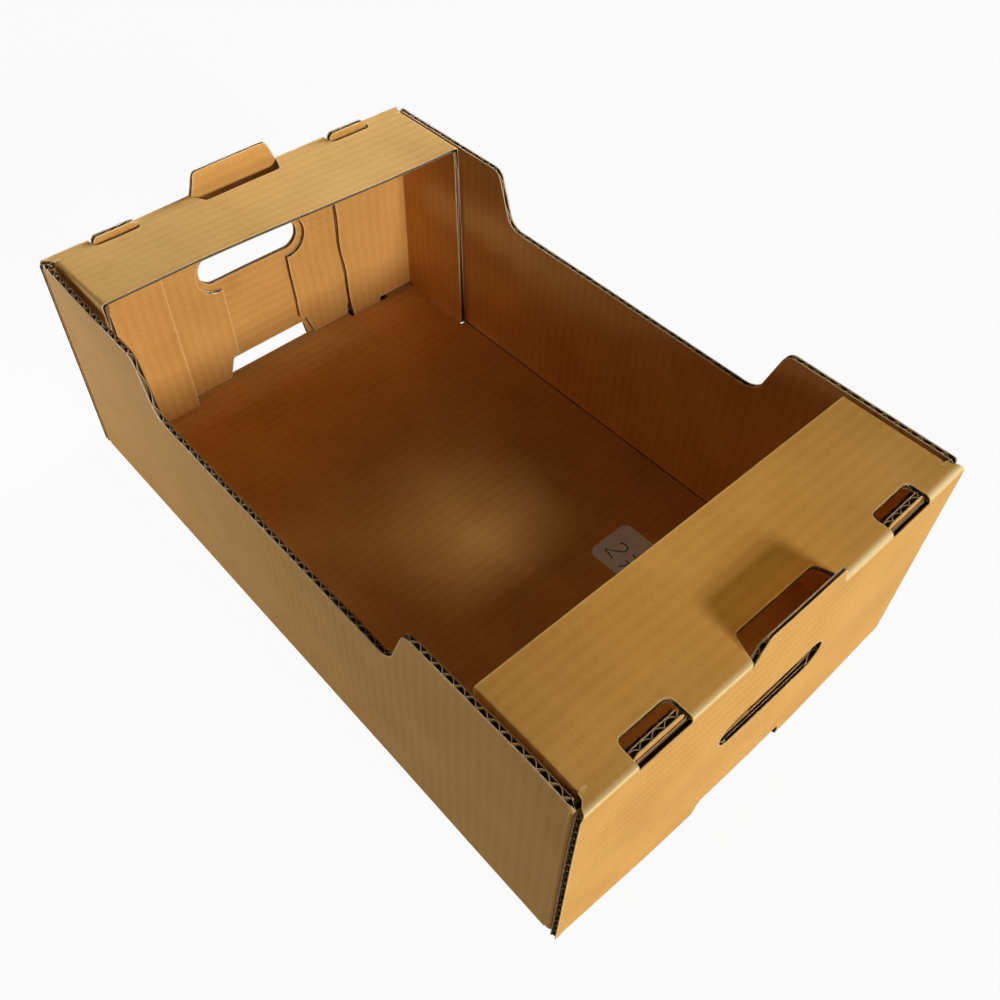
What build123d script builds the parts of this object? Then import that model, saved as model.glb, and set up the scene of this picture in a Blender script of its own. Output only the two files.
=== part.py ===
from build123d import *
import os

# Folding stacking tray, die cut and folded from one sheet of corrugated board.
# Millimetres, +Z up, origin at the centre of the underside of the floor.
# Long side along Y, the two carrying ends at +Y and -Y.

# Overall sizes
length = 500.0
width = 300.0
height = 166.0

# Board and folds
board = 4.0
fold_inner = 1.0
ply_gap = 0.6
cut_gap = 1.0

# Open flutes along the raw edges
flute_pitch = 7.9
flute_depth = 12.0
flute_web = 0.35
liner = 0.4

# Lowered middle of each side wall
low_height = 125.0
low_half_length = 115.5
slope_run = 14.0
slope_top_radius = 8.0
slope_low_radius = 14.0
corner_drop_run = 6.5

# Shelf at each end and the panels that fold down from it
shelf_depth = 77.0
side_flap_flare = 6.0
wing_edge = 78.0
wing_lift = 8.0
wing_tab_width = 30.0
lock_tab_inset = 2.0
lock_tab_length = 35.0
lock_slot_play = 2.5

# Hand hole in each end
hand_hole_width = 90.0
hand_hole_height = 25.0
hand_hole_level = 104.0
hand_hole_margin = 5.0

# Middle stacking tab, its slot in the shelf and the notch that takes it below
tab_base = 74.0
tab_top = 60.0
tab_rise = 15.0
tab_radius = 4.0
notch_height = 16.0

# Small stacking tabs on the end flaps, their slots and their floor slots
small_tab_place = 97.0
small_tab_width = 33.0
small_tab_rise = 4.0
small_tab_bevel = 2.5
small_slot_radius = 4.0
small_slot_front = 4.6
floor_slot_width = 40.0

# End flaps
flap_edge = 30.5
flap_step_level = 25.0
flap_step = 5.5
flap_foot_edge = 42.0
flap_notch_height = 17.0
flap_notch_radius = 6.0
flap_notch_play = 1.0

# Paper label on the floor
label_width = 38.5
label_length = 39.5
label_radius = 6.5
label_thickness = 0.3
label_x = 68.75
label_y = -97.25

# Planes of the sheet, worked out from the sizes above
fold_outer = fold_inner + board
half_length = length / 2
half_width = width / 2
wall_inner_x = half_width - board
wall_inner_y = half_length - board
fold_x = half_width - fold_outer
fold_y = half_length - fold_outer
top_fold_z = height - fold_outer
shelf_under = height - board
flap_out = wall_inner_y - ply_gap
flap_in = flap_out - board
corner_fold_y = flap_in - fold_inner
wing_out = flap_in - ply_gap
wing_in = wing_out - board
wing_fold_y = wing_in - fold_inner
side_flap_out = wall_inner_x - ply_gap
side_flap_in = side_flap_out - board
side_fold_x = side_flap_in - fold_inner
shelf_edge = half_length - shelf_depth
floor_clear = board + ply_gap
flap_top = shelf_under - ply_gap
wing_top = flap_top - ply_gap
ear_cut = wing_fold_y - cut_gap
margin_foot = 1.0
lock_tab_from = shelf_edge - side_flap_flare + lock_tab_inset
ramp_start = corner_fold_y - corner_drop_run


def panel(outline, plane):
    """Flat panel: an outline in the given plane, one board thick along its normal."""
    return extrude(plane * outline, board)


def bend(plane, u, v, turn, run_start, run_end):
    """Right-angle fold: a quarter ring of board about (u, v), run along the plane's normal."""
    ring = Circle(fold_outer) - Circle(fold_inner)
    quarter = ring & (Pos(fold_outer / 2, fold_outer / 2) * Rectangle(fold_outer, fold_outer))
    return extrude(plane.offset(run_start) * Pos(u, v) * Rot(0, 0, turn) * quarter, run_end - run_start)


def outline_of(points, rounded=()):
    """Closed outline through the points, with a radius at each corner named in rounded."""
    face = make_face(Polyline(*points, close=True))
    for number, radius in rounded:
        u, v = points[number]
        corner = face.vertices().sort_by_distance((u, v, 0))[0]
        face = fillet(corner, radius)
    return face


def both_sides(shape):
    """The shape and its mirror image across the lengthwise middle plane."""
    return [shape, mirror(shape, Plane.YZ)]


def both_ends(shape):
    """The shape and its mirror image across the crosswise middle plane."""
    return [shape, mirror(shape, Plane.XZ)]


def make_floor():
    """Floor panel with the slots that take the wing tabs, the lock tabs and a lower tray's small tabs."""
    sheet = Rectangle(2 * fold_x, 2 * fold_y)
    return panel(sheet, Plane.XY)


def edge_level(y):
    """Height of the side wall's top edge at y."""
    past = abs(y) - low_half_length
    if past <= 0:
        return low_height
    if past >= slope_run:
        return height
    return low_height + (height - low_height) * past / slope_run


def flute(outward):
    """One open flute between the liners: u runs along the edge, v across the board from its inner face."""
    half_base = flute_pitch / 2 - flute_web / 2
    points = [
        (-half_base, board - liner),
        (half_base, board - liner),
        (0, liner + flute_web),
    ]
    if not outward:
        points = [(u, board - v) for u, v in points]
    return outline_of(points)


def side_flutes():
    """Open flutes down into the top edge of the +X side wall, every half pitch to the other liner."""
    count = int(2 * (ramp_start - flute_pitch) / flute_pitch)
    mouths = []
    for step in range(-count, count + 1):
        y = step * flute_pitch / 2
        foot = edge_level(abs(y) - flute_pitch / 2) - flute_depth
        plane = Plane((wall_inner_x, y, height + 1), x_dir=(0, 1, 0), z_dir=(0, 0, -1))
        mouths.append(extrude(plane * flute(step % 2 == 0), height + 1 - foot))
    return mouths


def end_flutes():
    """Open flutes into the raw upright edge of the +Y end wall at +X."""
    count = int(2 * (top_fold_z - fold_outer) / flute_pitch) - 3
    mouths = []
    for step in range(count):
        z = fold_outer + flute_pitch + step * flute_pitch / 2
        plane = Plane((half_width + 1, wall_inner_y, z), x_dir=(0, 0, 1), z_dir=(-1, 0, 0))
        mouths.append(extrude(plane * flute(step % 2 == 0), flute_depth + 1))
    return mouths


def tab_flutes():
    """Open flutes down into the top of the small stacking tab at +X and +Y."""
    count = int((small_tab_width / 2 - small_tab_bevel) / flute_pitch * 2) - 1
    top = height + small_tab_rise
    mouths = []
    for step in range(-count, count + 1):
        x = small_tab_place + step * flute_pitch / 2
        plane = Plane((x, flap_in, top + 1), x_dir=(-1, 0, 0), z_dir=(0, 0, -1))
        mouths.append(extrude(plane * flute(step % 2 == 0), small_tab_rise + 1))
    return mouths


def make_side_wall():
    """Side wall at +X with its lowered middle, its floor fold and its corner folds."""
    half = [
        (low_half_length, low_height),
        (low_half_length + slope_run, height),
        (ramp_start, height),
        (corner_fold_y, flap_top),
        (corner_fold_y, fold_outer),
    ]
    points = half + [(-u, v) for u, v in reversed(half)]
    last = len(points) - 1
    rounded = [
        (0, slope_low_radius), (last, slope_low_radius),
        (1, slope_top_radius), (last - 1, slope_top_radius),
        (2, slope_top_radius), (last - 2, slope_top_radius),
    ]
    wall = panel(outline_of(points, rounded), Plane.YZ.offset(wall_inner_x)).cut(*side_flutes())
    floor_fold = bend(Plane.XZ, fold_x, fold_outer, -90, -corner_fold_y, corner_fold_y)
    corner = bend(Plane.XY, fold_x, corner_fold_y, 0, floor_clear, flap_top)
    return [wall, floor_fold] + both_ends(corner)


def make_end_flap():
    """End flap that turns in from the +X side wall behind the +Y end wall, with its small stacking tab."""
    tab_in = small_tab_place - small_tab_width / 2
    tab_out = small_tab_place + small_tab_width / 2
    notch_in = small_tab_place - floor_slot_width / 2 - flap_notch_play
    notch_out = small_tab_place + floor_slot_width / 2 + flap_notch_play
    tab_z = height + small_tab_rise
    points = [
        (fold_x, floor_clear),
        (fold_x, flap_top),
        (tab_out, flap_top),
        (tab_out, tab_z - small_tab_bevel),
        (tab_out - small_tab_bevel, tab_z),
        (tab_in + small_tab_bevel, tab_z),
        (tab_in, tab_z - small_tab_bevel),
        (tab_in, flap_top),
        (flap_edge, flap_top),
        (flap_edge, flap_step_level),
        (flap_edge + flap_step, flap_step_level - flap_step / 2),
        (flap_foot_edge, floor_clear),
        (notch_in, floor_clear),
        (notch_in, flap_notch_height),
        (notch_out, flap_notch_height),
        (notch_out, floor_clear),
    ]
    rounded = [(13, flap_notch_radius), (14, flap_notch_radius), (4, 2.0), (5, 2.0)]
    clear_of_hole = SlotOverall(hand_hole_width + 2 * hand_hole_margin, hand_hole_height + 2 * hand_hole_margin)
    outline = outline_of(points, rounded) - Pos(0, hand_hole_level) * clear_of_hole
    return panel(outline, Plane.XZ.offset(-flap_out)).cut(*tab_flutes())


def make_end_wall():
    """End wall at +Y with its hand hole and stacking tab, its floor fold, top fold and shelf."""
    points = [
        (fold_x, fold_outer),
        (fold_x, margin_foot),
        (half_width, margin_foot),
        (half_width, top_fold_z),
    ]
    points = points + [(-u, v) for u, v in reversed(points)]
    hole = Pos(0, hand_hole_level) * SlotOverall(hand_hole_width, hand_hole_height)
    wall = panel(outline_of(points) - hole, Plane.XZ.offset(-half_length))
    mouths = []
    for mouth in end_flutes():
        mouths = mouths + both_sides(mouth)
    wall = wall.cut(*mouths)
    floor_fold = bend(Plane.YZ, fold_y, fold_outer, -90, -fold_x, fold_x)
    top_fold = bend(Plane.YZ, fold_y, top_fold_z, 0, ply_gap - half_width, half_width - ply_gap)
    shelf_outline = [
        (side_fold_x, shelf_edge),
        (side_fold_x, ear_cut),
        (side_flap_out, ear_cut),
        (side_flap_out, fold_y),
    ]
    shelf_outline = shelf_outline + [(-u, v) for u, v in reversed(shelf_outline)]
    shelf = panel(outline_of(shelf_outline), Plane.XY.offset(shelf_under))
    return [wall, floor_fold, top_fold, shelf]


def tab_outline(play):
    """Stacking tab, drawn from its fold at v = 0, grown at its sides by the play."""
    reach = fold_outer + tab_rise
    points = [
        (tab_base / 2 + play, 0),
        (tab_top / 2 + play, reach),
        (-tab_top / 2 - play, reach),
        (-tab_base / 2 - play, 0),
    ]
    return outline_of(points, [(1, tab_radius), (2, tab_radius)])


def make_tab():
    """Stacking tab that stays upright in the plane of the +Y end wall when the shelf folds in."""
    return panel(Pos(0, top_fold_z) * tab_outline(0), Plane.XZ.offset(-half_length))


def slot_cuts():
    """What is cut from the +Y end once folded: tab slots at the top, notch and slots at the bottom."""
    # The slot is the tab's own shape: the outer liner keeps its length round the fold
    outer_arc = fold_outer * 1.5708
    slot_plane = Plane((0, half_length, height + 1), x_dir=(1, 0, 0), z_dir=(0, 0, -1))
    slot_reach = fold_outer + fold_outer + tab_rise - outer_arc
    points = [
        (tab_base / 2 + cut_gap, -1),
        (tab_base / 2 + cut_gap, fold_outer),
        (tab_top / 2 + cut_gap, slot_reach),
    ]
    points = points + [(-u, v) for u, v in reversed(points)]
    slot = outline_of(points, [(2, tab_radius), (3, tab_radius)])
    middle = extrude(slot_plane * slot, fold_outer + 1)
    small_in = flap_in - small_slot_front
    small_depth = half_length + 1 - small_in
    small_width = small_tab_width + 2 * cut_gap
    small_outline = Pos(small_tab_place, small_in + small_depth / 2) * Rectangle(small_width, small_depth)
    rear = small_outline.vertices().sort_by(Axis.Y)[:2]
    small_outline = fillet(rear, small_slot_radius)
    small = extrude(Plane.XY.offset(top_fold_z) * small_outline, fold_outer + 1)
    notch_base = 1.0
    notch_points = [
        (tab_base / 2, -notch_base), (tab_base / 2, notch_height),
        (-tab_base / 2, notch_height), (-tab_base / 2, -notch_base),
    ]
    notch_outline = outline_of(notch_points, [(1, tab_radius), (2, tab_radius)])
    notch = extrude(Plane.XZ.offset(-half_length - 1) * notch_outline, fold_outer + 1)
    floor_slot_in = wing_in - ply_gap
    floor_slot_depth = wall_inner_y - floor_slot_in
    floor_slot = Rectangle(floor_slot_width, floor_slot_depth)
    floor_slot = Pos(small_tab_place, floor_slot_in + floor_slot_depth / 2) * floor_slot
    receive = extrude(Plane.XY.offset(-1) * floor_slot, fold_outer + 1)
    lock_length = lock_tab_length + 2 * lock_slot_play
    lock_width = wall_inner_x - side_flap_in + ply_gap
    lock_slot = Rectangle(lock_width, lock_length)
    lock_middle = lock_tab_from + lock_tab_length / 2
    lock_slot = Pos(wall_inner_x - lock_width / 2, lock_middle) * lock_slot
    lock = extrude(Plane.XY.offset(-1) * lock_slot, fold_outer + 1)
    return [middle, notch] + both_sides(small) + both_sides(receive) + both_sides(lock)


def make_shelf_corner():
    """Flap and wing that fold down from the +X side of the +Y shelf, with their folds and lock tabs."""
    shelf_fold = bend(Plane.XZ, side_fold_x, top_fold_z, 0, -ear_cut, -shelf_edge)
    flap_points = [
        (shelf_edge, top_fold_z),
        (ear_cut, top_fold_z),
        (ear_cut, wing_top),
        (wing_fold_y, wing_top),
        (wing_fold_y, wing_lift),
        (wing_fold_y - 1.0, floor_clear),
        (lock_tab_from + lock_tab_length, floor_clear),
        (lock_tab_from + lock_tab_length, margin_foot),
        (lock_tab_from, margin_foot),
        (lock_tab_from, floor_clear),
        (shelf_edge - side_flap_flare, floor_clear),
    ]
    flap = panel(outline_of(flap_points), Plane.YZ.offset(side_flap_in))
    turn = bend(Plane.XY, side_fold_x, wing_fold_y, 0, wing_lift, wing_top)
    wing_points = [
        (side_fold_x, wing_top),
        (wing_edge, wing_top),
        (wing_edge, margin_foot),
        (wing_edge + wing_tab_width, margin_foot),
        (wing_edge + wing_tab_width, wing_lift),
        (side_fold_x, wing_lift),
    ]
    wing = panel(outline_of(wing_points, [(2, 2.5), (3, 2.5)]), Plane.XZ.offset(-wing_out))
    return [shelf_fold, flap, turn, wing]


def make_tray():
    """The whole folded sheet as one solid."""
    outer = [make_floor()]
    for piece in make_side_wall():
        outer = outer + both_sides(piece)
    for piece in make_end_wall():
        outer = outer + both_ends(piece)
    cuts = []
    for cut in slot_cuts():
        cuts = cuts + both_ends(cut)
    shell = outer[0].fuse(*outer[1:]).cut(*cuts)
    inner = both_ends(make_tab())
    for piece in make_shelf_corner() + [make_end_flap()]:
        for half in both_sides(piece):
            inner = inner + both_ends(half)
    return shell.fuse(*inner)


def make_label():
    """Small rounded paper label stuck flat on the floor."""
    outline = Pos(label_x, label_y) * RectangleRounded(label_width, label_length, label_radius)
    return extrude(Plane.XY.offset(board) * outline, label_thickness)


tray = make_tray()
label = make_label()

os.makedirs("parts", exist_ok=True)
export_step(tray, "parts/tray.step")
export_step(label, "parts/label.step")
print("tray", len(tray.solids()), "solids", round(tray.volume), tray.bounding_box())
print("label", round(label.volume), label.bounding_box())
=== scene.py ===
import bpy
import math
import random
import numpy as np
from mathutils import Matrix, Vector, noise
from mathutils.geometry import delaunay_2d_cdt


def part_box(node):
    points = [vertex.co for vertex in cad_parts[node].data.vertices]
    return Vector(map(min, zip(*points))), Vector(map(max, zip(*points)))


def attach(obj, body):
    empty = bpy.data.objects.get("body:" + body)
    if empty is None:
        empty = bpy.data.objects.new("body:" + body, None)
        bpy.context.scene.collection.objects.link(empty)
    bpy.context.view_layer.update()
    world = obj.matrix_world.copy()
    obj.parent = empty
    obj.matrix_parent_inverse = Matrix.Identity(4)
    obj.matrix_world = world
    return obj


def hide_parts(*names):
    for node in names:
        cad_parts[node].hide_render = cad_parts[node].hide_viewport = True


# Stacking tray of corrugated board, folded from one sheet, dressed around its CAD solid.
# The sheet is worked out flat in millimetres, folded, and turned into metres last.
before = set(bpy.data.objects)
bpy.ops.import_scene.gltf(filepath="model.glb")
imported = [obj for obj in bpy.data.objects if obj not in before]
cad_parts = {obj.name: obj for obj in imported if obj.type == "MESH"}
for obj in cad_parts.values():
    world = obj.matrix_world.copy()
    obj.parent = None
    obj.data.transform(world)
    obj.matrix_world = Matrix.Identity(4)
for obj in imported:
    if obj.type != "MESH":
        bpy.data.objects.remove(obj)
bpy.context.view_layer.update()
trayLow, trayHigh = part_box("tray")
labelLow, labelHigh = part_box("label")
mm = 0.001
print("frame loaded, tray", [round(v / mm, 1) for v in trayHigh - trayLow], "mm")

# Camera, at the photograph's viewing angle
cameraSetting = {
    "place": (-295.15, -342.70, 578.98),      # mm
    "right": (0.74617, -0.66571, 0.00787),
    "forward": (0.43018, 0.47308, -0.76886),
    "lens": 36.793,                           # mm, on a sensor 36 mm wide
    "sensor": 36.0,
    "shift": (0.01888, -0.0043),
}


def makeCamera(setting):
    data = bpy.data.cameras.new("trayCamera")
    data.lens = setting["lens"]
    data.sensor_width = setting["sensor"]
    data.shift_x, data.shift_y = setting["shift"]
    data.clip_start = 0.01
    data.clip_end = 50
    forward = Vector(setting["forward"]).normalized()
    right = Vector(setting["right"]).normalized()
    up = right.cross(forward).normalized()
    turn = Matrix((right, up, -forward)).transposed()
    camera = bpy.data.objects.new("trayCamera", data)
    camera.matrix_world = Matrix.Translation(Vector(setting["place"]) * mm) @ turn.to_4x4()
    bpy.context.scene.collection.objects.link(camera)
    bpy.context.scene.camera = camera


makeCamera(cameraSetting)
print("camera placed")

# Corrugated board, in mm
board = {
    "thick": 4.0,
    "liner": 0.42,
    "medium": 0.30,
    "pitch": 7.9,
    "foldInner": 1.0,
    "plyGap": 0.6,
    "cutGap": 1.0,
    "samples": 12,       # rows of the medium along one flute
    "faceStep": 12.0,    # widest face on the liners
    "edgeInset": 1.3,    # first row of points inside a cut edge
    "edgeStep": 5.0,     # longest step along a cut edge
    "rowStep": 48.0,     # longest step along a flute
    "foldSteps": 6,
    "foldPower": 4.0,    # 2 is a round fold, more is sharper
    "sharpFoldPower": 5.5,
    "softFoldPower": 2.5,
    "ragged": 0.35,      # how far the medium falls short of the cut edge
    "fluteMargin": 0.15,
    "narrowest": 2.0,    # narrower spans get no medium
    "archPower": 0.75,   # shape of the medium's arches, 1 is half a sine wave
    "lipBend": 0.16,     # how far cut liners bend in or out
    "lipSizes": (5.0, 3.0),
    "drift": 0.35,       # of the arches from their even spacing, as a phase
    "driftSizes": (40.0, 25.0),
    "shelfPinch": 0.5,   # how much the front edges of the shelves are crushed
    "tabPinch": 0.4,
    "pinchReach": 8.0,
}
# How far the outer and inner liner have rolled over the cut edges, in mm
rolled = {
    "rightWall": (0.6, 0.3),
    "leftWall": (0.25, 0.12),
    "Flap": (0.75, 0.4),
    "nearRightFlap": (0.2, 0.1),
    "nearLeftFlap": (0.2, 0.1),
    "farTab": (0.8, 0.7),
    "nearTab": (0.2, 0.8),
    "sheet": (0.12, 0.12),
}
paintedShadeEdges = ("leftWall",)      # their inner liner's cut edge takes the dark core colour as painted shade

# Tray, in mm
tray = {
    "tabRise": 15.0,
    "lowHeight": 125.0,
    "lowHalfLength": 115.5,
    "slopeRun": 14.0,
    "slopeTopRadius": 8.0,
    "slopeLowRadius": 14.0,
    "cornerHigh": 0.35,      # share of the corner fold that is as high as the wall
    "cornerLow": 0.8,
    "shelfDepth": 77.0,
    "flapFlare": 6.0,
    "wingEdge": 78.0,
    "wingLift": 8.0,
    "wingDrop": 6.0,
    "wingTabWidth": 30.0,
    "lockTabInset": 2.0,
    "lockTabLength": 35.0,
    "lockSlotPlay": 2.5,
    "wallLockDepth": 2.0,    # of the lock slots in the side walls
    "handHoleWidth": 90.0,
    "handHoleHeight": 25.0,
    "handHoleLevel": 104.0,
    "handHoleMargin": 5.0,
    "tabBase": 74.0,
    "tabTop": 60.0,
    "tabRadius": 4.0,
    "notchHeight": 16.0,
    "notchFootMore": 1.0,    # the notch is wider than the tab at its foot, and narrower at its top
    "notchTopLess": 2.0,
    "smallTabPlace": 97.0,
    "smallTabWidth": 33.0,
    "smallTabRise": 4.0,
    "smallTabBevel": 2.5,
    "smallSlotRadius": 4.0,
    "smallSlotFront": 4.6,
    "nearSlotMore": 2.8,
    "floorSlotWidth": 40.0,
    "flapEdge": 30.5,
    "flapStepLevel": 25.0,
    "flapStep": 5.5,
    "flapFootEdge": 42.0,
    "flapNotchHeight": 17.0,
    "flapNotchRadius": 6.0,
    "flapNotchPlay": 1.0,
    "footGap": 1.0,
    "slit": 0.3,         # cut between a fold and the panel beside it
}

# Planes of the folded sheet
thick = board["thick"]
foldOuter = board["foldInner"] + thick
arc = foldOuter * math.pi / 2
halfWidth = trayHigh.x / mm
halfLength = trayHigh.y / mm
height = trayHigh.z / mm - tray["tabRise"]
foldX = halfWidth - foldOuter
foldY = halfLength - foldOuter
topFoldZ = height - foldOuter
flapOuterY = halfLength - thick - board["plyGap"]
cornerFoldY = flapOuterY - thick - board["foldInner"]
wingOuterY = flapOuterY - thick - board["plyGap"]
wingFoldY = wingOuterY - thick - board["foldInner"]
sideFlapOuterX = halfWidth - thick - board["plyGap"]
sideFoldX = sideFlapOuterX - thick - board["foldInner"]
shelfEdge = halfLength - tray["shelfDepth"]
flapTop = height - thick - board["plyGap"]
wingTop = flapTop - tray["wingDrop"]
earCut = flapOuterY - thick - board["cutGap"]
footClear = thick + board["plyGap"]
lockFrom = shelfEdge - tray["flapFlare"] + tray["lockTabInset"]
lockTo = lockFrom + tray["lockTabLength"]
lockSlotFrom = lockFrom - tray["lockSlotPlay"]
lockSlotTo = lockTo + tray["lockSlotPlay"]
wallFrom = foldY + arc                     # along the sheet from its middle
topFrom = wallFrom + topFoldZ - foldOuter
shelfFrom = topFrom + arc
sheetEnd = shelfFrom + foldY - shelfEdge


def smooth(a, b, v):
    f = min(1.0, max(0.0, (v - a) / (b - a)))
    return f * f * (3 - 2 * f)


def creaseReach(sweep, n, power):
    # How much further out than a round fold the creased board stands
    reach = (math.cos(sweep) ** power + math.sin(sweep) ** power) ** (-1 / power)
    return 1 + (reach - 1) * (1 - n / thick)


def follow(path, t, n, power=None):
    # Point t along the outer liner and n into the board; each run ends in a quarter fold
    power = power or path.get("power", board["foldPower"])
    x, y = path["start"]
    angle = path["heading"]
    turn = path["turn"]
    runs = path["runs"]
    for number, run in enumerate(runs):
        inner = angle + turn * math.pi / 2
        if t <= run or number == len(runs) - 1:
            x += t * math.cos(angle) + n * math.cos(inner)
            y += t * math.sin(angle) + n * math.sin(inner)
            return x, y
        x += run * math.cos(angle)
        y += run * math.sin(angle)
        t -= run
        centreX = x + foldOuter * math.cos(inner)
        centreY = y + foldOuter * math.sin(inner)
        if t < arc:
            out = angle - turn * math.pi / 2 + turn * t / foldOuter
            radius = (foldOuter - n) * creaseReach(t / foldOuter, n, power)
            return centreX + radius * math.cos(out), centreY + radius * math.sin(out)
        t -= arc
        x = centreX + foldOuter * math.cos(angle)
        y = centreY + foldOuter * math.sin(angle)
        angle += turn * math.pi / 2


longPath = {"start": (0.0, 0.0), "heading": 0.0, "turn": 1,
            "runs": [foldY, topFoldZ - foldOuter, foldY - shelfEdge]}
sidePath = {"start": (foldX, 0.0), "heading": 0.0, "turn": 1, "runs": [0.0, height]}
cornerPath = {"start": (halfWidth, cornerFoldY), "heading": math.pi / 2, "turn": 1,
              "runs": [0.0, foldX]}
shelfSidePath = {"start": (sideFoldX, height), "heading": 0.0, "turn": -1, "runs": [0.0, height],
                 "power": board["sharpFoldPower"]}
wingPath = {"start": (sideFlapOuterX, wingFoldY), "heading": math.pi / 2, "turn": 1,
            "runs": [0.0, foldX]}


def foldLines(start):
    # Rows of points round a fold that begins at start
    return [start + arc * k / board["foldSteps"] for k in range(board["foldSteps"] + 1)]


def roundedLoop(corners):
    # Closed outline through the corners (u, s) or (u, s, radius)
    points = []
    count = len(corners)
    for k, corner in enumerate(corners):
        here = Vector(corner[:2])
        if len(corner) < 3:
            points.append(tuple(here))
            continue
        before = (Vector(corners[k - 1][:2]) - here).normalized()
        after = (Vector(corners[(k + 1) % count][:2]) - here).normalized()
        half = before.angle(after) / 2
        reach = corner[2] / math.tan(half)
        centre = here + (before + after).normalized() * corner[2] / math.sin(half)
        first = here + before * reach - centre
        sweep = first.angle_signed(here + after * reach - centre)
        steps = max(3, int(abs(sweep) * corner[2] / 1.6) + 1)
        for j in range(steps + 1):
            turned = first.copy()
            turned.rotate(Matrix.Rotation(-sweep * j / steps, 2))
            points.append(tuple(centre + turned))
    return points


def mirroredLoop(loop, flipU, flipS):
    return [(u * flipU, s * flipS) for u, s in loop]


def divided(loop, lines):
    # The outline with its edges cut at the fold rows and into short steps
    points = []
    for k, (u0, s0) in enumerate(loop):
        u1, s1 = loop[(k + 1) % len(loop)]
        cuts = [0.0]
        for line in lines:
            if min(s0, s1) + 1e-6 < line < max(s0, s1) - 1e-6:
                cuts.append((line - s0) / (s1 - s0))
        cuts = sorted(cuts) + [1.0]
        for a, b in zip(cuts, cuts[1:]):
            span = math.hypot(u1 - u0, s1 - s0) * (b - a)
            steps = max(1, math.ceil(span / board["edgeStep"] - 1e-6))
            for j in range(steps):
                f = a + (b - a) * j / steps
                points.append((u0 + (u1 - u0) * f, s0 + (s1 - s0) * f))
    return points


def insideLoops(points, loops):
    # True for each point inside the outline and outside its holes
    inside = np.zeros(len(points), bool)
    px, py = points[:, 0], points[:, 1]
    for loop in loops:
        ring = np.array(loop)
        following = np.roll(ring, -1, 0)
        for (x0, y0), (x1, y1) in zip(ring, following):
            if y0 == y1:
                continue
            crosses = (y0 > py) != (y1 > py)
            inside ^= crosses & (px < x0 + (py - y0) * (x1 - x0) / (y1 - y0))
    return inside


def edgeDistance(points, starts, ends):
    # Distance of each point from the nearest of some edges
    best = np.full(len(points), 1e9)
    for p, q in zip(starts, ends):
        line = q - p
        f = np.clip(((points - p) @ line) / max(line @ line, 1e-12), 0, 1)
        best = np.minimum(best, np.hypot(*(points - p - f[:, None] * line).T))
    return best


def ringDistance(points, ring):
    return edgeDistance(points, np.array(ring), np.roll(ring, -1, 0))


def insetPoints(rings, inset):
    # Points a little inside each corner of the rings
    found = []
    for ring in rings:
        ends = np.array(ring)
        ahead = np.roll(ends, -1, 0) - ends
        ahead /= np.linalg.norm(ahead, axis=1)[:, None]
        mean = ahead + np.roll(ahead, 1, 0)
        mean /= np.maximum(np.linalg.norm(mean, axis=1), 1e-6)[:, None]
        side = np.stack([-mean[:, 1], mean[:, 0]], 1)
        found += [ends + side * inset, ends - side * inset]
    return np.concatenate(found)


def onSeam(seams, u, s):
    for (u0, s0), (u1, s1) in seams:
        if min(u0, u1) - 0.01 < u < max(u0, u1) + 0.01 and min(s0, s1) - 0.01 < s < max(s0, s1) + 0.01:
            return True
    return False


# How the folded sheet has settled, in mm
settling = {
    "footX": 149.6,            # where the corners stand, inside the straight box
    "topX": 148.4,
    "cornerY": 246.5,
    "sideBow": 1.0,
    "nearBow": 1.8,            # along the fold, and below it
    "nearBulge": 1.5,
    "holeDrop": {"near": 5.5, "far": 1.8},
    "holeShorter": {"near": (0.02, 0.07), "far": (0.0, 0.05)},   # share at the left and right end
    "holeFrom": (35, 80),      # levels between which that comes in and goes out
    "holeTo": (122, 155),
    "holeBeside": (60, 110),   # and how far from the middle it goes out
    "notchWider": 0.11,        # left end of the near foot notch
    "notchTo": (16, 34),
    "farBow": 3.0,
    "farCornerRise": 1.6,      # left end of the far fold
    "shelfLift": 8.3,          # front edge of the far shelf, at its left end
    "liftFades": (-100.0, 140.0),
    "wingRise": 0.8,           # left far wing, whose foot stands on the floor
    "wingLean": 7.5,
    "flapLean": 2.2,
    "slitGap": 1.8,            # foot of the right far wing, beside the end flap
    "wingRipple": (0.45, 7.0),     # of that edge: how far, and over what height
    "shelfGap": 2.4,           # between the left wall and the shelves
    "nearCornerDrop": 2.6,     # left end of the near fold
    "rightShelfGap": 1.8,      # between the right wall and the near shelf
    "smallTabDrop": 3.6,       # small near tabs
    "lockShift": 2.2,          # foot of the near right side flap, towards the middle
    "unevenness": 0.2,
    "unevenSize": 90.0,
    "unevenSeed": 11,          # without it noise_vector differs from run to run
}
noise.seed_set(settling["unevenSeed"])


def shelfLiftAt(x, y):
    # The far shelf has sprung up from its fold, most at its left front corner
    away = min(1.1, max(0.0, (foldY - y) / (foldY - shelfEdge)))
    return settling["shelfLift"] * (1 - smooth(*settling["liftFades"], x)) * away


def settleFarEnd(name, x, y, z):
    # Panels of the far end that no longer stand straight
    low = 1 - min(1.0, z / height)
    inner = smooth(-sideFoldX, -0.7 * sideFoldX, x)
    if name.endswith("SideFlap") or (name == "floorEnds" and z > topFoldZ):
        z += shelfLiftAt(x, y)
    elif name == "farLeftWing":
        z += shelfLiftAt(x, y) * (1 - inner) + settling["wingRise"] * inner
        z = max(z, thick + 0.1)
        y -= settling["wingLean"] * low * inner
    elif name == "farLeftFlap":
        y -= settling["flapLean"] * low * smooth(-foldX, -0.7 * foldX, x)
    elif name == "farRightWing" and x < tray["wingEdge"] + 12:
        nearEdge = 1 - smooth(0, 12, x - tray["wingEdge"])
        x += nearEdge * settling["slitGap"] * (1 - smooth(2, 18, z))
        ripple, rippleSize = settling["wingRipple"]
        x += nearEdge * ripple * math.sin(z / rippleSize)
    return x, y, z


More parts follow.
